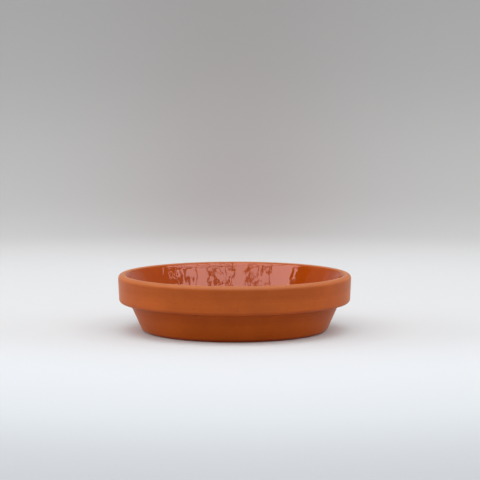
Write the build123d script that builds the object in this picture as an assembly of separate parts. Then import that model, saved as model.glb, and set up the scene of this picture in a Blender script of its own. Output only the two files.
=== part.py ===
# A round plant saucer of fired clay, with a coat of glaze fused to its inside.
# Millimetres and degrees. +Z is up, and the origin is the centre of the circle that it stands on.
from build123d import *
import math
import os

# Overall
rim_diameter = 130.0            # widest, just under the lip
overall_height = 31.7

# Collar: the deep upright band round the rim
collar_height = 15.7            # from the top of the lip to the band's underside
collar_draft = 2.6              # how far its side leans in towards the foot, in degrees
collar_edge_round = 1.9         # its lower outer edge
collar_root_fillet = 1.0        # where its underside meets the wall

# Lip: the rounded top of the collar
lip_thickness = 4.9             # from the widest circle to the mouth
lip_outer_round = 2.3
lip_inner_round = 1.9
lip_land = 0.6                  # upright strip inside, under the inner round
lip_land_fillet = 1.0           # where that strip meets the sloping wall

# Wall and foot
wall_top_diameter = 117.1       # outside, where the wall meets the collar's underside
foot_diameter = 102.8           # outside, where the wall's line meets the ground
foot_round = 3.2
wall_thickness = 5.0            # level across, at the height of the floor

# Floor
floor_thickness = 5.0
floor_corner_round = 8.0        # inside, between floor and wall
foot_ring_width = 9.4           # from the foot's edge in to a shallow recess, so that it stands on a ring
recess_depth = 0.8
recess_slope_width = 3.0        # the recess's sloping border

# Glaze
glaze_thickness = 0.4
glaze_edge_angle = 42.0         # how far over the inner round it starts, in degrees from the top

# How far a cutting shape runs past what it cuts
overrun = 5.0


rim_radius = rim_diameter / 2
mouth_radius = rim_radius - lip_thickness
collar_bottom = overall_height - collar_height
wall_top_radius = wall_top_diameter / 2
foot_radius = foot_diameter / 2
recess_radius = foot_radius - foot_ring_width
draft = math.radians(collar_draft)

# Where the collar's leaning side, run on up, meets the top, so that the round there just reaches the rim
lip_reach = (1 + math.sin(draft)) / math.cos(draft)
lip_corner_radius = rim_radius - lip_outer_round + lip_outer_round * lip_reach


def wall_outer_radius(height):
    """The outside of the sloping wall at a height, on its straight line."""
    return foot_radius + (wall_top_radius - foot_radius) * height / collar_bottom


# Corners are radius, height and rounding. These run up the inside.
inside_corners = [
    (wall_outer_radius(floor_thickness) - wall_thickness, floor_thickness, floor_corner_round),
    (mouth_radius, overall_height - lip_inner_round - lip_land, lip_land_fillet),
    (mouth_radius, overall_height, lip_inner_round),
]

# These run down the outside, from the top of the lip to the middle of the underside.
outside_corners = [
    (lip_corner_radius, overall_height, lip_outer_round),
    (lip_corner_radius - collar_height * math.tan(draft), collar_bottom, collar_edge_round),
    (wall_top_radius, collar_bottom, collar_root_fillet),
    (foot_radius, 0, foot_round),
    (recess_radius, 0, 0),
    (recess_radius - recess_slope_width, recess_depth, 0),
    (0, recess_depth, 0),
]


def upright_face(corners):
    """A face in the XZ plane with its corners rounded as they say."""
    points = [Vector(radius, 0, height) for radius, height, rounding in corners]
    rounds = [rounding for radius, height, rounding in corners]
    return make_face(FilletPolyline(*points, radius=rounds, close=True)).face()


def clay_section():
    """Half the cross-section of the clay."""
    floor_middle = (0, floor_thickness, 0)
    return upright_face([floor_middle] + inside_corners + outside_corners)


def hollow_section():
    """The section of the space over the clay, run on past the axis, the lip and the top."""
    ceiling = overall_height + overrun
    past_rim = rim_radius + overrun
    surround = [
        (past_rim, overall_height, 0),
        (past_rim, ceiling, 0),
        (-overrun, ceiling, 0),
        (-overrun, floor_thickness, 0),
    ]
    return upright_face(inside_corners + surround)


def glaze_reach():
    """Where the glaze lies: from the axis to a line square to the inner round of the lip."""
    centre_radius = mouth_radius + lip_inner_round
    centre_height = overall_height - lip_inner_round
    angle = math.radians(glaze_edge_angle)
    end_radius = centre_radius - overrun * math.sin(angle)
    end_height = centre_height + overrun * math.cos(angle)
    return upright_face([
        (0, 0, 0),
        (centre_radius, 0, 0),
        (centre_radius, centre_height, 0),
        (end_radius, end_height, 0),
        (0, end_height, 0),
    ])


def glaze_section():
    """Half the cross-section of the glaze, which is equally thick all over."""
    hollow = hollow_section()
    over_glaze = offset(hollow, amount=-glaze_thickness, kind=Kind.ARC).face()
    return ((hollow - over_glaze) & glaze_reach()).face()


def turned(section):
    """The solid that a half section sweeps about the axis."""
    return revolve(section, axis=Axis.Z)


def main():
    os.makedirs("parts", exist_ok=True)
    export_step(turned(clay_section()), "parts/clay_body.step")
    export_step(turned(glaze_section()), "parts/inner_glaze.step")


main()
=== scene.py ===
# A small round terracotta plant saucer: bare pressed clay outside, clear glaze inside.
# Metres, +Z up, standing on the origin.
import math

import bpy
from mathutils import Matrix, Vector


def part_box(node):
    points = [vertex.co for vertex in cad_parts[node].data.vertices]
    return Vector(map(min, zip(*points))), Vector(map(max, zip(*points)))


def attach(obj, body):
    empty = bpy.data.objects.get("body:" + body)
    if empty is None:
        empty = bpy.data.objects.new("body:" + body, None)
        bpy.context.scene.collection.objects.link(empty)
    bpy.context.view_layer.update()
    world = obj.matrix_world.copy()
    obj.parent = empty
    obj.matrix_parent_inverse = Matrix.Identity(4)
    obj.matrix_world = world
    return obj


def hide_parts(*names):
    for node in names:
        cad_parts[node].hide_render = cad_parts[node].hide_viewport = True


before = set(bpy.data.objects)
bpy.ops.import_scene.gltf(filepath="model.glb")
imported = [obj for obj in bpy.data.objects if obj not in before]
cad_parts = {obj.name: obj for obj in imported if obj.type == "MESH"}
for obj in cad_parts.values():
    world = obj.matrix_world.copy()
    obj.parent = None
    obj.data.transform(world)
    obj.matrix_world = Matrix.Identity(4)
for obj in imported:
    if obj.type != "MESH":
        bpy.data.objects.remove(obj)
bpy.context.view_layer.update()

mm = 0.001

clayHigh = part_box("clay_body")[1]
rimRadius = clayHigh.x
topHeight = clayHigh.z
print("frame loaded: rim radius %.1f mm, height %.1f mm" % (rimRadius / mm, topHeight / mm))


def linearColour(code):
    # An sRGB hex colour, turned linear
    parts = [int(code[i:i + 2], 16) / 255 for i in (0, 2, 4)]
    return [p / 12.92 if p <= 0.04045 else ((p + 0.055) / 1.055) ** 2.4 for p in parts] + [1]


def addNode(tree, kind, settings, inputs):
    # Inputs are constants or the sockets that feed them, by name or number
    node = tree.nodes.new(kind)
    for name, value in settings.items():
        setattr(node, name, value)
    for name, value in inputs.items():
        if isinstance(value, bpy.types.NodeSocket):
            tree.links.new(value, node.inputs[name])
        else:
            node.inputs[name].default_value = value
    return node


def newMaterial(name):
    material = bpy.data.materials.new(name)
    material.use_nodes = True
    material.node_tree.nodes.clear()
    return material, material.node_tree


def deselectAll():
    for thing in bpy.context.selected_objects:
        thing.select_set(False)


# Outlines are lists of corners: radius, height and rounding, all in metres.

def cornerRound(before, corner, after, size):
    # Where a rounding starts, its centre, how far it turns and which way about Y
    back = (before - corner).normalized()
    ahead = (after - corner).normalized()
    halfAngle = back.angle(ahead) / 2
    start = corner + back * size / math.tan(halfAngle)
    centre = corner + (back + ahead).normalized() * size / math.sin(halfAngle)
    side = -1 if back.x * ahead.y - back.y * ahead.x > 0 else 1
    return start, centre, math.pi - 2 * halfAngle, side


def extrudeTo(here, there, stepLength):
    # The selected vertex is drawn out in even steps
    count = max(1, math.ceil((there - here).length / stepLength - 0.01))
    move = (there - here) / count
    for i in range(count):
        bpy.ops.mesh.extrude_region_move(TRANSFORM_OT_translate={"value": (move.x, 0, move.y)})


def drawOutline(corners, stepLength, roundStep):
    # Straight runs are extruded and rounded corners are spun, from the one selected vertex
    places = [Vector((radius, height)) for radius, height, rounding in corners]
    here = places[0]
    for i in range(1, len(corners)):
        rounding = corners[i][2]
        if rounding and i + 1 < len(corners):
            start, centre, turn, side = cornerRound(places[i - 1], places[i], places[i + 1], rounding)
            extrudeTo(here, start, stepLength)
            count = max(3, math.ceil(turn / math.radians(roundStep)))
            bpy.ops.mesh.spin(steps=count, angle=turn, center=(centre.x, 0, centre.y), axis=(0, side, 0))
            ahead = (places[i + 1] - places[i]).normalized()
            here = places[i] + ahead * (start - places[i]).length
        else:
            extrudeTo(here, places[i], stepLength)
            here = places[i]


def turnPiece(name, outlines, segments, wedges=10):
    # A piece turned about Z: its outline runs from the axis round and back to the axis
    deselectAll()
    first = outlines[0][0][0]
    bpy.ops.mesh.primitive_plane_add(size=mm, location=(0, 0, 0))
    piece = bpy.context.object
    piece.name = name
    piece.data.name = name
    bpy.ops.object.mode_set(mode="EDIT")
    bpy.ops.mesh.select_all(action="SELECT")
    bpy.ops.mesh.merge(type="CENTER")
    bpy.ops.transform.translate(value=(first[0], 0, first[1]))
    for corners, stepLength, roundStep in outlines:
        drawOutline(corners, stepLength, roundStep)
    # One wedge is spun in small steps, and then copied round
    bpy.ops.mesh.select_all(action="SELECT")
    bpy.ops.mesh.spin(steps=segments // wedges, angle=math.tau / wedges, center=(0, 0, 0), axis=(0, 0, 1))
    bpy.ops.mesh.select_all(action="SELECT")
    bpy.ops.mesh.spin(steps=wedges, angle=math.tau, center=(0, 0, 0), axis=(0, 0, 1), dupli=True)
    bpy.ops.mesh.select_all(action="SELECT")
    bpy.ops.mesh.remove_doubles(threshold=mm / 500)
    bpy.ops.mesh.normals_make_consistent(inside=False)
    bpy.ops.object.mode_set(mode="OBJECT")
    return piece


def insetCorners(corners, amount):
    # The same outline, moved to its left by an amount, with its roundings to suit
    places = [Vector((radius, height)) for radius, height, rounding in corners]
    moved = []
    for i, (radius, height, rounding) in enumerate(corners):
        before = (places[i] - places[max(i - 1, 0)]).normalized()
        after = (places[min(i + 1, len(places) - 1)] - places[i]).normalized()
        before = before if before.length else after
        after = after if after.length else before
        left = Vector((-before.y, before.x)) + Vector((-after.y, after.x))
        place = places[i] + left * amount * 2 / left.length_squared
        turnsLeft = before.x * after.y - before.y * after.x > 0
        grown = rounding + (-amount if turnsLeft else amount)
        moved.append((place.x, place.y, grown if rounding else 0))
    return moved


def displace(piece, weights, height, wave=None, middle=0.5):
    # Each vertex moves along its normal by its share of the height, in a cloud pattern where a wave is given
    deselectAll()
    piece.select_set(True)
    bpy.context.view_layer.objects.active = piece
    group = piece.vertex_groups.new(name="shares")
    for index, weight in weights:
        group.add([index], weight, "REPLACE")
    modifier = piece.modifiers.new("shape", "DISPLACE")
    modifier.vertex_group = group.name
    modifier.strength = height
    modifier.mid_level = middle if wave else 0
    if wave:
        modifier.texture = bpy.data.textures.new(wave["name"], "CLOUDS")
        modifier.texture.noise_scale = 1
        modifier.texture.noise_depth = wave["depth"]
        # The pattern is stretched as an empty's axes are
        axes = bpy.data.objects.new(wave["name"], None)
        axes.scale = wave["size"]
        bpy.context.scene.collection.objects.link(axes)
        bpy.context.view_layer.update()
        modifier.texture_coords = "OBJECT"
        modifier.texture_coords_object = axes
    bpy.ops.object.modifier_apply(modifier=modifier.name)
    if wave:
        bpy.data.objects.remove(axes)
    piece.vertex_groups.clear()


def clamp(value):
    return min(1, max(0, value))


clayBody = {
    "collarHeight": 15.7 * mm,
    "collarDraft": 2.6,             # degrees, leaning in towards the foot
    "collarEdgeRound": 1.9 * mm,
    "collarRootFillet": 1.0 * mm,
    "lipThickness": 4.9 * mm,
    "lipOuterRound": 2.3 * mm,
    "lipInnerRound": 1.9 * mm,
    "lipLand": 0.6 * mm,            # upright strip under the inner round
    "lipLandFillet": 1.0 * mm,
    "wallTopRadius": 58.55 * mm,
    "footRadius": 51.4 * mm,
    "footRound": 3.2 * mm,
    "wallThickness": 5.0 * mm,
    "floorThickness": 5.0 * mm,
    "floorCornerRound": 8.0 * mm,
    "recessRadius": 42.0 * mm,
    "recessSlope": 3.0 * mm,
    "recessDepth": 0.8 * mm,
    "segments": 400,
    "outsideStep": 0.6 * mm,
    "insideStep": 2.5 * mm,         # under the glaze
    "undersideStep": 2.0 * mm,
    "roundStep": 9,                 # degrees
    "sharpest": 35,                 # degrees between faces that still look smooth
    # Faint turning lines, pressed into the outside
    "lines": {"name": "lines", "size": (45 * mm, 45 * mm, 1.7 * mm), "height": 0.05 * mm, "depth": 1},
    "linesFrom": 0.8 * mm,          # above the ground, so that the standing ring stays flat
}


def insideCorners():
    # Up the inside, from the floor's middle to the top of the lip
    b = clayBody
    share = b["floorThickness"] / (topHeight - b["collarHeight"])
    wallFoot = b["footRadius"] + (b["wallTopRadius"] - b["footRadius"]) * share - b["wallThickness"]
    mouthRadius = rimRadius - b["lipThickness"]
    landFoot = topHeight - b["lipInnerRound"] - b["lipLand"]
    return [
        (0, b["floorThickness"], 0),
        (wallFoot, b["floorThickness"], b["floorCornerRound"]),
        (mouthRadius, landFoot, b["lipLandFillet"]),
        (mouthRadius, topHeight, b["lipInnerRound"]),
        (rimRadius, topHeight, 0),
    ]


def outsideCorners():
    # Down the outside, from the lip to the middle of the underside
    b = clayBody
    draft = math.radians(b["collarDraft"])
    lipReach = (1 + math.sin(draft)) / math.cos(draft)
    lipCorner = rimRadius - b["lipOuterRound"] + b["lipOuterRound"] * lipReach
    underside = topHeight - b["collarHeight"]
    return [
        (lipCorner, topHeight, b["lipOuterRound"]),
        (lipCorner - b["collarHeight"] * math.tan(draft), underside, b["collarEdgeRound"]),
        (b["wallTopRadius"], underside, b["collarRootFillet"]),
        (b["footRadius"], 0, b["footRound"]),
        (b["recessRadius"], 0, 0),
        (b["recessRadius"] - b["recessSlope"], b["recessDepth"], 0),
        (0, b["recessDepth"], 0),
    ]


def makeClayBody():
    b = clayBody
    inside, outside = insideCorners(), outsideCorners()
    lipTop = ((inside[3][0] + b["lipInnerRound"] + rimRadius - b["lipOuterRound"]) / 2, topHeight, 0)
    underFoot = ((b["footRadius"] - b["footRound"] + b["recessRadius"]) / 2, 0, 0)
    piece = turnPiece("saucer_clay", [
        (inside[:-1] + [lipTop], b["insideStep"], b["roundStep"]),
        ([lipTop] + outside[:4] + [underFoot], b["outsideStep"], b["roundStep"]),
        ([underFoot] + outside[4:], b["undersideStep"], b["roundStep"]),
    ], b["segments"])
    bpy.ops.object.shade_smooth_by_angle(angle=math.radians(b["sharpest"]))
    return piece


def outerWall(piece):
    # The vertices that face outwards, each with how squarely it does
    found = []
    for v in piece.data.vertices:
        facing = v.normal.dot(Vector((v.co.x, v.co.y, 0)).normalized())
        if facing > 0 and v.co.length > clayBody["recessRadius"]:
            found.append((v.index, facing, v.co.z))
    return found


def lineClay(piece):
    # The lines only cut in, so the piece keeps its size
    b = clayBody
    weights = []
    for index, facing, height in outerWall(piece):
        weights.append((index, clamp(2 * facing) * clamp((height - b["linesFrom"]) / b["linesFrom"])))
    displace(piece, weights, b["lines"]["height"], b["lines"], middle=1)


clay = makeClayBody()
lineClay(clay)
print("clay turned: %d faces" % len(clay.data.polygons))


glazeCoat = {
    "thickness": 0.4 * mm,
    "bite": 0.05 * mm,              # how far it sinks into the clay that it is fused to
    "edgeCorners": [(-0.13, -1.45, 4.0), (0.33, -0.68, 0.9)],   # mm from the mouth and the top, and rounding
    "edgeAngle": 42,                # degrees over the lip's inner round, from its top
    "edgeDip": 10,                  # degrees between its feathered edge and the clay
    "edgeTail": 0.3 * mm,
    "segments": 720,
    "floorStep": 2.0 * mm,
    "wallStep": 0.5 * mm,
    "roundStep": 7,
    "undersideStep": 6 * mm,
    "undersideRound": 30,
}

# Ripples where it ran down the wall while it was molten. Stretches are degrees round, from +Y clockwise.
glazeRipples = {
    "waves": [
        {"name": "runs", "size": (3.0 * mm, 3.0 * mm, 7.0 * mm), "height": 0.3 * mm, "depth": 0},
        {"name": "ripples", "size": (1.5 * mm, 1.5 * mm, 2.6 * mm), "height": 0.07 * mm, "depth": 1},
    ],
    # Start, end, and share of the ripples' height
    "stretches": [
        (-180, 180, 0.1),           # calm all round
        (-50, -34, 0.5),
        (-34, -20, 0.2),
        (-20, -9, 0.2),
        (-9, -1, 0.6),
        (5, 12, 0.25),
        (12, 22, 0.4),
        (34, 50, 0.4),
        (75, 118, 0.7),
        (130, 152, 0.5),
        (170, 205, 0.8),
        (222, 256, 0.6),
        (264, 284, 0.9),
    ],
    "blend": 4,                     # degrees over which a stretch comes in
    "smoothTop": 0.6 * mm,          # it lies smooth over the lip, down to here
    "fadeTop": 1.2 * mm,
    "floorLevel": 5.5 * mm,
    "fadeFloor": 4.0 * mm,
    "floorShare": 0.15,
    "calmRadius": 20 * mm,          # the floor's middle lies flat
    "steepest": 0.3,                # how far its upper side leans outwards, at most
    "beadHeight": 0.05 * mm,        # a faint bead under the lip
    "beadPlace": 2.1 * mm,          # below the top
    "beadWidth": 0.8 * mm,
    "beads": [(-33, 4, 1.0), (32, 52, 1.0), (84, 120, 0.7), (150, 190, 1.0), (240, 275, 0.8)],
    "beadBlend": 12,
}


def makeGlazeCoat():
    g = glazeCoat
    inside = insideCorners()
    floorMiddle, wallFoot = insetCorners(inside, g["thickness"])[:2]
    under = insetCorners(inside, -g["bite"])
    # It sits thickest under the lip, and thins to nothing over the lip's inner round
    corners = [(inside[3][0] + r * mm, topHeight + z * mm, size * mm) for r, z, size in g["edgeCorners"]]
    angle = math.radians(g["edgeAngle"])
    size = clayBody["lipInnerRound"]
    slope = angle - math.radians(g["edgeDip"])
    edge = Vector((inside[3][0] + size - size * math.sin(angle), topHeight - size + size * math.cos(angle)))
    tail = edge + Vector((math.cos(slope), math.sin(slope))) * g["edgeTail"]
    middle = Vector(wallFoot[:2]).lerp(Vector(corners[0][:2]), 0.5)
    outlines = [
        ([floorMiddle, wallFoot, (middle.x, middle.y, 0)], g["floorStep"], g["roundStep"]),
        ([(middle.x, middle.y, 0)] + corners + [(tail.x, tail.y, 0)], g["wallStep"], g["roundStep"]),
        ([(tail.x, tail.y, 0), (under[3][0], topHeight - size, 0), under[2][:2] + (0,), under[1], under[0]],
         g["undersideStep"], g["undersideRound"]),
    ]
    piece = turnPiece("inner_glaze_coat", outlines, g["segments"])
    bpy.ops.object.shade_smooth()
    return piece


def innerWall(piece):
    # The vertices of the glaze's upper side, past the middle of the floor,
    # each with its number, bearing in degrees and height
    found = []
    for v in piece.data.vertices:
        outward = Vector((v.co.x, v.co.y, 0))
        upperSide = v.normal.z > 0 and v.normal.dot(outward.normalized()) < glazeRipples["steepest"]
        if upperSide and outward.length > glazeRipples["calmRadius"]:
            found.append((v.index, math.degrees(math.atan2(v.co.x, v.co.y)), v.co.z))
    return found


def stretchShare(bearing, start, end, blend):
    # 1 inside the stretch and 0 outside it
    if end - start >= 360:
        return 1
    off = abs((bearing - (start + end) / 2 + 180) % 360 - 180)
    return clamp(((end - start) / 2 - off) / blend + 0.5)


def rippleGlaze(piece):
    g = glazeRipples
    wall = innerWall(piece)
    for start, end, share in g["stretches"]:
        weights = []
        for index, bearing, height in wall:
            inStretch = stretchShare(bearing, start, end, g["blend"])
            if inStretch:
                topFade = clamp((topHeight - g["smoothTop"] - height) / g["fadeTop"])
                floorFade = max(g["floorShare"], clamp((height - g["floorLevel"]) / g["fadeFloor"]))
                weights.append((index, share * inStretch * topFade * floorFade))
        for wave in g["waves"]:
            displace(piece, weights, wave["height"], wave)
    for start, end, share in g["beads"]:
        weights = []
        for index, bearing, height in wall:
            off = abs(topHeight - g["beadPlace"] - height) / g["beadWidth"]
            if off < 1:
                bell = 0.5 + 0.5 * math.cos(math.pi * off)
                weights.append((index, share * bell * stretchShare(bearing, start, end, g["beadBlend"])))
        displace(piece, weights, g["beadHeight"])


glaze = makeGlazeCoat()
rippleGlaze(glaze)
print("glaze turned: %d faces" % len(glaze.data.polygons))


# Terracotta is red earthenware clay, pressed and turned in a mould and fired bare. It is porous, so it
# looks matt and dusty, with grit, open pores and faint lines from the turning. It is pale where salts bloom,
# and its lip is paler, partly rubbed and partly a painted highlight. Shade is painted in by height and in
# the pores.
clayLook = {
    "tint": [(0.3, "AB521E"), (0.7, "B65922")],
    "mottleSize": 14 * mm,
    # Painted shade by height at the foot, the wall's top, the collar's edge and under the lip; the lower
    # wall is deeper
    "paintedShadeByHeight": [                   # mm above the ground
        # painted contact shade at the foot, then the deeper lower wall and the start of the collar's painted
        # shadow
        (0.0, "EAC8A4"), (0.9, "DDB894"), (2.0, "F3E380"), (8.5, "F3E380"), (12.2, "EAD578"),
        # painted shadow of the collar on the wall, then painted shade on the collar's lower edge
        (14.4, "E8D47A"), (15.9, "EACE84"), (16.6, "F6E4B4"), (17.8, "FFFFFF"), (22.0, "FFFFFF"),
        # a band of painted shade under the lip
        (26.0, "F3F0ED"), (28.6, "F3F0ED"), (30.4, "FFFFFF"),
    ],
    "lineSize": (70 * mm, 70 * mm, 1.3 * mm),
    "lineTone": [(0.3, "F6F4F2"), (0.7, "FFFFFF")],
    "gritSize": 0.55 * mm,
    "gritTone": [(0.35, "F0EEEC"), (0.65, "FFFFFF")],
    "gritHeight": 0.06 * mm,
    "gritStrength": 0.5,
    "poreSize": 4.2 * mm,           # one open pore to a cell of about this size
    "poreReach": [(0.0, "000000"), (0.065, "FFFFFF")],
    # the pores are painted darker, as painted shade in the pits
    "poreShade": [(0.035, "B99A86"), (0.07, "FFFFFF")],
    "poreHeight": 0.12 * mm,
    "bloom": "D9A583",
    "bloomSize": 11 * mm,
    "bloomShare": [(0.56, "000000"), (0.8, "2A2A2A")],
    "lipPaleAndHighlight": "D08E62",            # the lip is rubbed paler, and carries a painted highlight on its top
    "lipPaleAndHighlightShare": 0.3,
    "lipFrom": 2.4 * mm,            # below the top
    "lipFull": 0.6 * mm,
    "roughness": 0.45,
    "ior": 1.5,
    "gloss": 0.11,                  # specular level: next to none
    "dust": 0.27,                   # sheen, as on any dusty face
    "dustTint": "FFEFD0",
    "dustSpread": 0.26,
    "dustNone": -0.85,              # none settles where the clay faces down this much
    "dustAll": -0.5,
}


def addRamp(tree, factor, stops, span=1):
    # A colour ramp with its stops at places from 0 to the span
    ramp = addNode(tree, "ShaderNodeValToRGB", {}, {"Fac": factor})
    elements = ramp.color_ramp.elements
    while len(elements) < len(stops):
        elements.new(0.5)
    for element, (place, colour) in zip(elements, stops):
        element.position = place / span
        element.color = linearColour(colour)
    return ramp


def makeClayMaterial():
    c = clayLook
    material, tree = newMaterial("pressed terracotta, unglazed")
    texture = addNode(tree, "ShaderNodeTexCoord", {}, {})
    coords = texture.outputs["Object"]
    mottle = addNode(tree, "ShaderNodeTexNoise", {}, {
        "Vector": coords, "Scale": 1 / c["mottleSize"], "Detail": 4, "Roughness": 0.55})
    tone = addRamp(tree, mottle.outputs["Fac"], c["tint"])
    axes = addNode(tree, "ShaderNodeSeparateXYZ", {}, {"Vector": coords})
    height = addNode(tree, "ShaderNodeMapRange", {}, {"Value": axes.outputs["Z"], "From Max": topHeight})
    # Painted shade by height: contact shade at the foot, the collar's shadow and edge, and a band under the
    # lip
    shade = addRamp(tree, height.outputs["Result"], c["paintedShadeByHeight"], topHeight / mm)
    shade.color_ramp.interpolation = "EASE"
    stretch = addNode(tree, "ShaderNodeMapping", {}, {
        "Vector": coords, "Scale": [1 / size for size in c["lineSize"]]})
    lines = addNode(tree, "ShaderNodeTexNoise", {}, {
        "Vector": stretch.outputs["Vector"], "Scale": 1, "Detail": 3, "Roughness": 0.6})
    grit = addNode(tree, "ShaderNodeTexNoise", {}, {
        "Vector": coords, "Scale": 1 / c["gritSize"], "Detail": 3, "Roughness": 0.6})
    cells = addNode(tree, "ShaderNodeTexVoronoi", {}, {"Vector": coords, "Scale": 1 / c["poreSize"]})
    # Multiplied in: painted shade by height, turning lines, grit, and painted shade in the pores
    for layer in (shade, addRamp(tree, lines.outputs["Fac"], c["lineTone"]),
                  addRamp(tree, grit.outputs["Fac"], c["gritTone"]),
                  addRamp(tree, cells.outputs["Distance"], c["poreShade"])):
        tone = addNode(tree, "ShaderNodeMixRGB", {"blend_type": "MULTIPLY"}, {
            "Fac": 1, "Color1": tone.outputs["Color"], "Color2": layer.outputs["Color"]})
    salts = addNode(tree, "ShaderNodeTexNoise", {}, {
        "Vector": coords, "Scale": 1 / c["bloomSize"], "Detail": 6, "Roughness": 0.65})
    bloomShare = addRamp(tree, salts.outputs["Fac"], c["bloomShare"])
    tone = addNode(tree, "ShaderNodeMixRGB", {}, {
        "Fac": bloomShare.outputs["Color"], "Color1": tone.outputs["Color"],
        "Color2": linearColour(c["bloom"])})
    # The lip is paler: partly rubbed, partly a painted highlight on its top
    lipPaleAndHighlightMix = addNode(tree, "ShaderNodeMapRange", {"interpolation_type": "SMOOTHSTEP"}, {
        "Value": axes.outputs["Z"], "To Max": c["lipPaleAndHighlightShare"],
        "From Min": topHeight - c["lipFrom"], "From Max": topHeight - c["lipFull"]})
    tone = addNode(tree, "ShaderNodeMixRGB", {}, {
        "Fac": lipPaleAndHighlightMix.outputs["Result"], "Color1": tone.outputs["Color"],
        "Color2": linearColour(c["lipPaleAndHighlight"])})
    pores = addRamp(tree, cells.outputs["Distance"], c["poreReach"])
    pitted = addNode(tree, "ShaderNodeBump", {}, {
        "Height": pores.outputs["Color"], "Distance": c["poreHeight"]})
    bump = addNode(tree, "ShaderNodeBump", {}, {
        "Height": grit.outputs["Fac"], "Distance": c["gritHeight"], "Strength": c["gritStrength"],
        "Normal": pitted.outputs["Normal"]})
    facing = addNode(tree, "ShaderNodeSeparateXYZ", {}, {"Vector": texture.outputs["Normal"]})
    dust = addNode(tree, "ShaderNodeMapRange", {}, {
        "Value": facing.outputs["Z"], "To Max": c["dust"],
        "From Min": c["dustNone"], "From Max": c["dustAll"]})
    shader = addNode(tree, "ShaderNodeBsdfPrincipled", {}, {
        "Base Color": tone.outputs["Color"], "Roughness": c["roughness"], "IOR": c["ior"],
        "Specular IOR Level": c["gloss"], "Sheen Weight": dust.outputs["Result"],
        "Sheen Roughness": c["dustSpread"], "Sheen Tint": linearColour(c["dustTint"]),
        "Normal": bump.outputs["Normal"]})
    addNode(tree, "ShaderNodeOutputMaterial", {}, {"Surface": shader.outputs["BSDF"]})
    return material


# The glaze is clear glass, fired on in one coat that ran a little while it was molten. It is smooth, sharply
# glossy and wet-looking, because the clay shows through it deeper and redder than it is bare, with a few
# dark iron specks.
glazeLook = {
    "tint": [(0.3, "9F4008"), (0.7, "A7460A")],
    "mottleSize": 14 * mm,
    "speckSize": 8.0 * mm,          # one speck to a cell of about this size
    "speckTone": [(0.0, "6A2A10"), (0.03, "8A4A2A"), (0.045, "FFFFFF")],
    "roughness": 0.06,
    "ior": 1.5,
}


def makeGlazeMaterial():
    c = glazeLook
    material, tree = newMaterial("clear glaze over terracotta")
    coords = addNode(tree, "ShaderNodeTexCoord", {}, {}).outputs["Object"]
    mottle = addNode(tree, "ShaderNodeTexNoise", {}, {
        "Vector": coords, "Scale": 1 / c["mottleSize"], "Detail": 4, "Roughness": 0.55})
    tint = addRamp(tree, mottle.outputs["Fac"], c["tint"])
    cells = addNode(tree, "ShaderNodeTexVoronoi", {}, {"Vector": coords, "Scale": 1 / c["speckSize"]})
    specks = addRamp(tree, cells.outputs["Distance"], c["speckTone"])
    tone = addNode(tree, "ShaderNodeMixRGB", {"blend_type": "MULTIPLY"}, {
        "Fac": 1, "Color1": tint.outputs["Color"], "Color2": specks.outputs["Color"]})
    shader = addNode(tree, "ShaderNodeBsdfPrincipled", {}, {
        "Base Color": tone.outputs["Color"], "Roughness": c["roughness"], "IOR": c["ior"]})
    addNode(tree, "ShaderNodeOutputMaterial", {}, {"Surface": shader.outputs["BSDF"]})
    return material


clay.data.materials.append(makeClayMaterial())
glaze.data.materials.append(makeGlazeMaterial())
print("materials made")

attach(clay, "root")
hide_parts("clay_body")
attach(glaze, "root")
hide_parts("inner_glaze")


# The stage is a roll of matt uncoated paper, pressed from white pulp and bent up into a sweep. Its fibres
# scatter all light, so it has no gloss and no edge to see, only soft shadows; its slow change of shade is
# painted.
sweep = {
    "floorRadius": 0.9,
    "bend": 2.0,
    "top": 0.9,
    "segments": 120,
    "stepLength": 0.1,
    "roundStep": 3,                 # degrees
    "paintedLightMiddle": (0, 0.09, 0),         # the middle of its painted pool of light
    # painted falloff of light, outwards from the middle
    "farPaintedFalloff": [
        (0.0, "D0D2D4"), (0.25, "D2D4D6"), (0.4, "CACBCC"), (0.5, "BEBFC0"), (0.7, "C0C0C0"),
        (1.2, "BDBDBD"), (1.5, "B2B2B2"), (2.0, "B0B0B0"),
    ],
    "nearPaintedFalloff": [                   # the same painted falloff of light, cooler, on the viewer's side
        (0.0, "CDCFD1"), (0.12, "CED1D4"), (0.25, "D4D8DC"), (0.37, "C9CFD3"), (0.45, "BABFC4"),
        (0.55, "AEB2B6"), (0.8, "C0C0C0"), (1.2, "BDBDBD"), (1.5, "B2B2B2"), (2.0, "B0B0B0"),
    ],
    "nearFrom": 0.02,               # along Y
    "nearFull": -0.13,
    "paintedLightRing": "E1E8EB",               # painted light round the saucer: paler paper that lifts its shadow
    "paintedLightRingFull": 0.054,
    "paintedLightRingEnd": 0.088,
    "shadeSource": -1.19,           # a soft shade fans out from here, and shows on the far side only
    "shadeSpread": 0.0456,
    "shade": "ECE5E4",
    "shadeAlong": [
        (0.3, 0.0), (0.4, 0.28), (0.5, 0.68), (0.6, 0.95),
        (0.95, 1.0), (1.25, 0.88), (1.5, 0.65), (2.0, 0.4),
    ],
    "roughness": 0.9,
    "gloss": 0.2,                   # specular level
}


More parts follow.
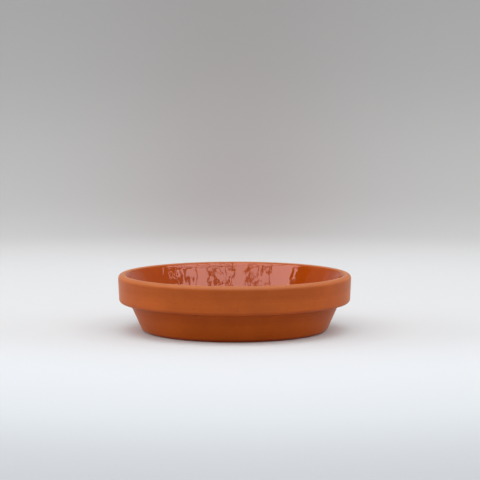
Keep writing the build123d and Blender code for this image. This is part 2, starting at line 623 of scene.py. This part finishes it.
def makePaper():
    s = sweep
    material, tree = newMaterial("matt paper")
    coords = addNode(tree, "ShaderNodeTexCoord", {}, {}).outputs["Object"]
    # A painted pool of light: the tone falls off outwards from its middle
    away = addNode(tree, "ShaderNodeVectorMath", {"operation": "DISTANCE"}, {0: coords, 1: s["paintedLightMiddle"]})
    reach = s["farPaintedFalloff"][-1][0]
    share = addNode(tree, "ShaderNodeMapRange", {}, {"Value": away.outputs["Value"], "From Max": reach})
    far = addRamp(tree, share.outputs["Result"], s["farPaintedFalloff"], reach)
    near = addRamp(tree, share.outputs["Result"], s["nearPaintedFalloff"], reach)
    far.color_ramp.interpolation = "B_SPLINE"
    near.color_ramp.interpolation = "B_SPLINE"
    axes = addNode(tree, "ShaderNodeSeparateXYZ", {}, {"Vector": coords})
    nearness = addNode(tree, "ShaderNodeMapRange", {"interpolation_type": "SMOOTHSTEP"}, {
        "Value": axes.outputs["Y"], "From Min": s["nearFrom"], "From Max": s["nearFull"]})
    tint = addNode(tree, "ShaderNodeMixRGB", {}, {
        "Fac": nearness.outputs["Result"], "Color1": far.outputs["Color"], "Color2": near.outputs["Color"]})
    # A painted paler ring round the saucer, lifting its shadow
    fromMiddle = addNode(tree, "ShaderNodeVectorMath", {"operation": "LENGTH"}, {0: coords})
    paintedLightRingShare = addNode(tree, "ShaderNodeMapRange", {"interpolation_type": "SMOOTHSTEP"}, {
        "Value": fromMiddle.outputs["Value"], "From Min": s["paintedLightRingEnd"], "From Max": s["paintedLightRingFull"]})
    tone = addNode(tree, "ShaderNodeMixRGB", {}, {
        "Fac": paintedLightRingShare.outputs["Result"], "Color1": tint.outputs["Color"],
        "Color2": linearColour(s["paintedLightRing"])})
    # The shade is a bell curve of the angle seen from its source
    depth = addNode(tree, "ShaderNodeMath", {"operation": "SUBTRACT"}, {
        0: axes.outputs["Y"], 1: s["shadeSource"]})
    angle = addNode(tree, "ShaderNodeMath", {"operation": "DIVIDE"}, {
        0: axes.outputs["X"], 1: depth.outputs[0]})
    spread = addNode(tree, "ShaderNodeMath", {"operation": "DIVIDE"}, {
        0: angle.outputs[0], 1: s["shadeSpread"]})
    square = addNode(tree, "ShaderNodeMath", {"operation": "MULTIPLY"}, {
        0: spread.outputs[0], 1: spread.outputs[0]})
    half = addNode(tree, "ShaderNodeMath", {"operation": "MULTIPLY"}, {0: square.outputs[0], 1: -0.5})
    bell = addNode(tree, "ShaderNodeMath", {"operation": "EXPONENT"}, {0: half.outputs[0]})
    end = s["shadeAlong"][-1][0]
    along = addNode(tree, "ShaderNodeMapRange", {}, {"Value": axes.outputs["Y"], "From Max": end})
    strength = addNode(tree, "ShaderNodeValToRGB", {}, {"Fac": along.outputs["Result"]})
    for distance, value in s["shadeAlong"][:-1]:
        strength.color_ramp.elements.new(distance / end).color = (value, value, value, 1)
    strength.color_ramp.elements[0].color = (0, 0, 0, 1)
    strength.color_ramp.elements[-1].color = [s["shadeAlong"][-1][1]] * 3 + [1]
    much = addNode(tree, "ShaderNodeMath", {"operation": "MULTIPLY"}, {
        0: bell.outputs[0], 1: strength.outputs["Color"]})
    shaded = addNode(tree, "ShaderNodeMixRGB", {"blend_type": "MULTIPLY"}, {
        "Fac": much.outputs[0], "Color1": tone.outputs["Color"], "Color2": linearColour(s["shade"])})
    shader = addNode(tree, "ShaderNodeBsdfPrincipled", {}, {
        "Base Color": shaded.outputs["Color"], "Roughness": s["roughness"],
        "Specular IOR Level": s["gloss"]})
    addNode(tree, "ShaderNodeOutputMaterial", {}, {"Surface": shader.outputs["BSDF"]})
    return material


def makeSweep():
    # A round paper sweep that bends up all round, with a painted pool of light, palest in the middle
    s = sweep
    turn = math.acos(1 - s["top"] / s["bend"])
    edge = s["floorRadius"] + s["bend"] * math.tan(turn / 2)
    past = s["floorRadius"] + s["bend"] * math.sin(turn)
    outline = [(0, 0, 0), (edge, 0, s["bend"]), (past, s["top"], 0)]
    piece = turnPiece("paper_sweep", [(outline, s["stepLength"], s["roundStep"])], s["segments"])
    bpy.ops.object.shade_smooth()
    piece.data.materials.append(makePaper())


makeSweep()


softLights = {
    "front": {"place": (0, -0.75, 1.44), "size": (4.0, 1.9), "radiance": 0.74, "aim": (0, -0.75, 0)},
    "top": {"place": (0, 0.15, 1.48), "size": (2.4, 2.0), "radiance": 0.75, "aim": (0, 0.15, 0)},
    "left": {"place": (-1.5, 0, 0.4), "size": (1.6, 0.6), "radiance": 3.5, "aim": (0, 0, 0)},
    "right": {"place": (1.5, 0, 0.4), "size": (1.6, 0.6), "radiance": 2.5, "aim": (0, 0, 0)},
}

# Panes that only gloss shows, like a skylight with ribs
panes = {
    "height": 1.4,
    # Where each starts and ends, left to right and then front to back
    "across": [(-2.1, -1.15), (-1.09, -0.88), (-0.82, -0.49), (-0.43, 0.01), (0.07, 0.22), (0.28, 0.62),
               (0.68, 0.83), (0.89, 1.23), (1.31, 1.55), (1.7, 1.84), (2.05, 2.1)],
    "along": [(-1.56, -1.31), (-1.26, 0.18)],
    "radiance": 5.35,
    "colour": "FFD1CB",
    "room": 0.59,                   # the pale room all round
    "roomInGloss": 0.17,            # and as much of it as gloss shows
}


def addAreaLight(name, place, size, radiance, aim):
    data = bpy.data.lights.new(name, "AREA")
    data.shape = "RECTANGLE"
    data.size, data.size_y = size
    data.energy = radiance * math.pi * data.size * data.size_y
    light = bpy.data.objects.new(name, data)
    light.location = place
    light.rotation_euler = (Vector(place) - Vector(aim)).to_track_quat("Z", "Y").to_euler()
    light.visible_camera = False
    bpy.context.scene.collection.objects.link(light)
    return light


def makeLights():
    for name, s in softLights.items():
        addAreaLight(name, s["place"], s["size"], s["radiance"], s["aim"]).visible_glossy = False
    p = panes
    for left, right in p["across"]:
        for front, back in p["along"]:
            place = ((left + right) / 2, (front + back) / 2, p["height"])
            size = (right - left, back - front)
            pane = addAreaLight("pane", place, size, p["radiance"], (place[0], place[1], 0))
            pane.data.color = linearColour(p["colour"])[:3]
            pane.visible_diffuse = False
    world = bpy.data.worlds.new("dim room")
    world.use_nodes = True
    tree = world.node_tree
    path = addNode(tree, "ShaderNodeLightPath", {}, {})
    strength = addNode(tree, "ShaderNodeMapRange", {}, {
        "Value": path.outputs["Is Glossy Ray"], "To Min": p["room"], "To Max": p["roomInGloss"]})
    tree.nodes["Background"].inputs["Color"].default_value = (1, 1, 1, 1)
    tree.links.new(strength.outputs["Result"], tree.nodes["Background"].inputs["Strength"])
    bpy.context.scene.world = world


makeLights()


# Card faced with black wool felt, pressed from loose fibres that trap the light, so that its reflection is
# a plain dark patch
blackCard = {
    "place": (-1.72, 0.02, 1.04),   # to the left of the saucer
    "width": 0.56,
    "height": 0.7,
    "thickness": 0.005,
    "colour": "050505",
}


def makeBlackCard():
    # Only gloss sees it
    c = blackCard
    deselectAll()
    bpy.ops.mesh.primitive_cube_add(size=1, location=(0, 0, 0))
    card = bpy.context.object
    card.name = "black_card"
    bpy.ops.object.mode_set(mode="EDIT")
    bpy.ops.mesh.select_all(action="SELECT")
    bpy.ops.transform.resize(value=(c["width"], c["thickness"], c["height"]))
    bpy.ops.object.mode_set(mode="OBJECT")
    card.location = c["place"]
    card.rotation_euler = (-Vector(c["place"])).to_track_quat("Y", "Z").to_euler()
    card.visible_camera = False
    card.visible_diffuse = False
    card.visible_shadow = False
    material, tree = newMaterial("black felt")
    shader = addNode(tree, "ShaderNodeBsdfDiffuse", {}, {"Color": linearColour(c["colour"])})
    addNode(tree, "ShaderNodeOutputMaterial", {}, {"Surface": shader.outputs["BSDF"]})
    card.data.materials.append(material)


makeBlackCard()

viewpoint = {
    "place": (0, -1.19084, 0.16401),
    "lookDown": 5.449,              # degrees
    "lookRight": 0.144,
    "lens": 161.05,                 # mm
    "sensor": 36,                   # mm wide
    "clipFrom": 0.01,
}


def makeCamera():
    v = viewpoint
    data = bpy.data.cameras.new("camera")
    data.sensor_width = v["sensor"]
    data.lens = v["lens"]
    data.clip_start = v["clipFrom"]
    camera = bpy.data.objects.new("camera", data)
    camera.location = v["place"]
    camera.rotation_euler = (math.radians(90 - v["lookDown"]), 0, -math.radians(v["lookRight"]))
    bpy.context.scene.collection.objects.link(camera)
    bpy.context.scene.camera = camera
    bpy.context.scene.view_settings.view_transform = "Standard"


makeCamera()
print("stage, lights and camera ready")
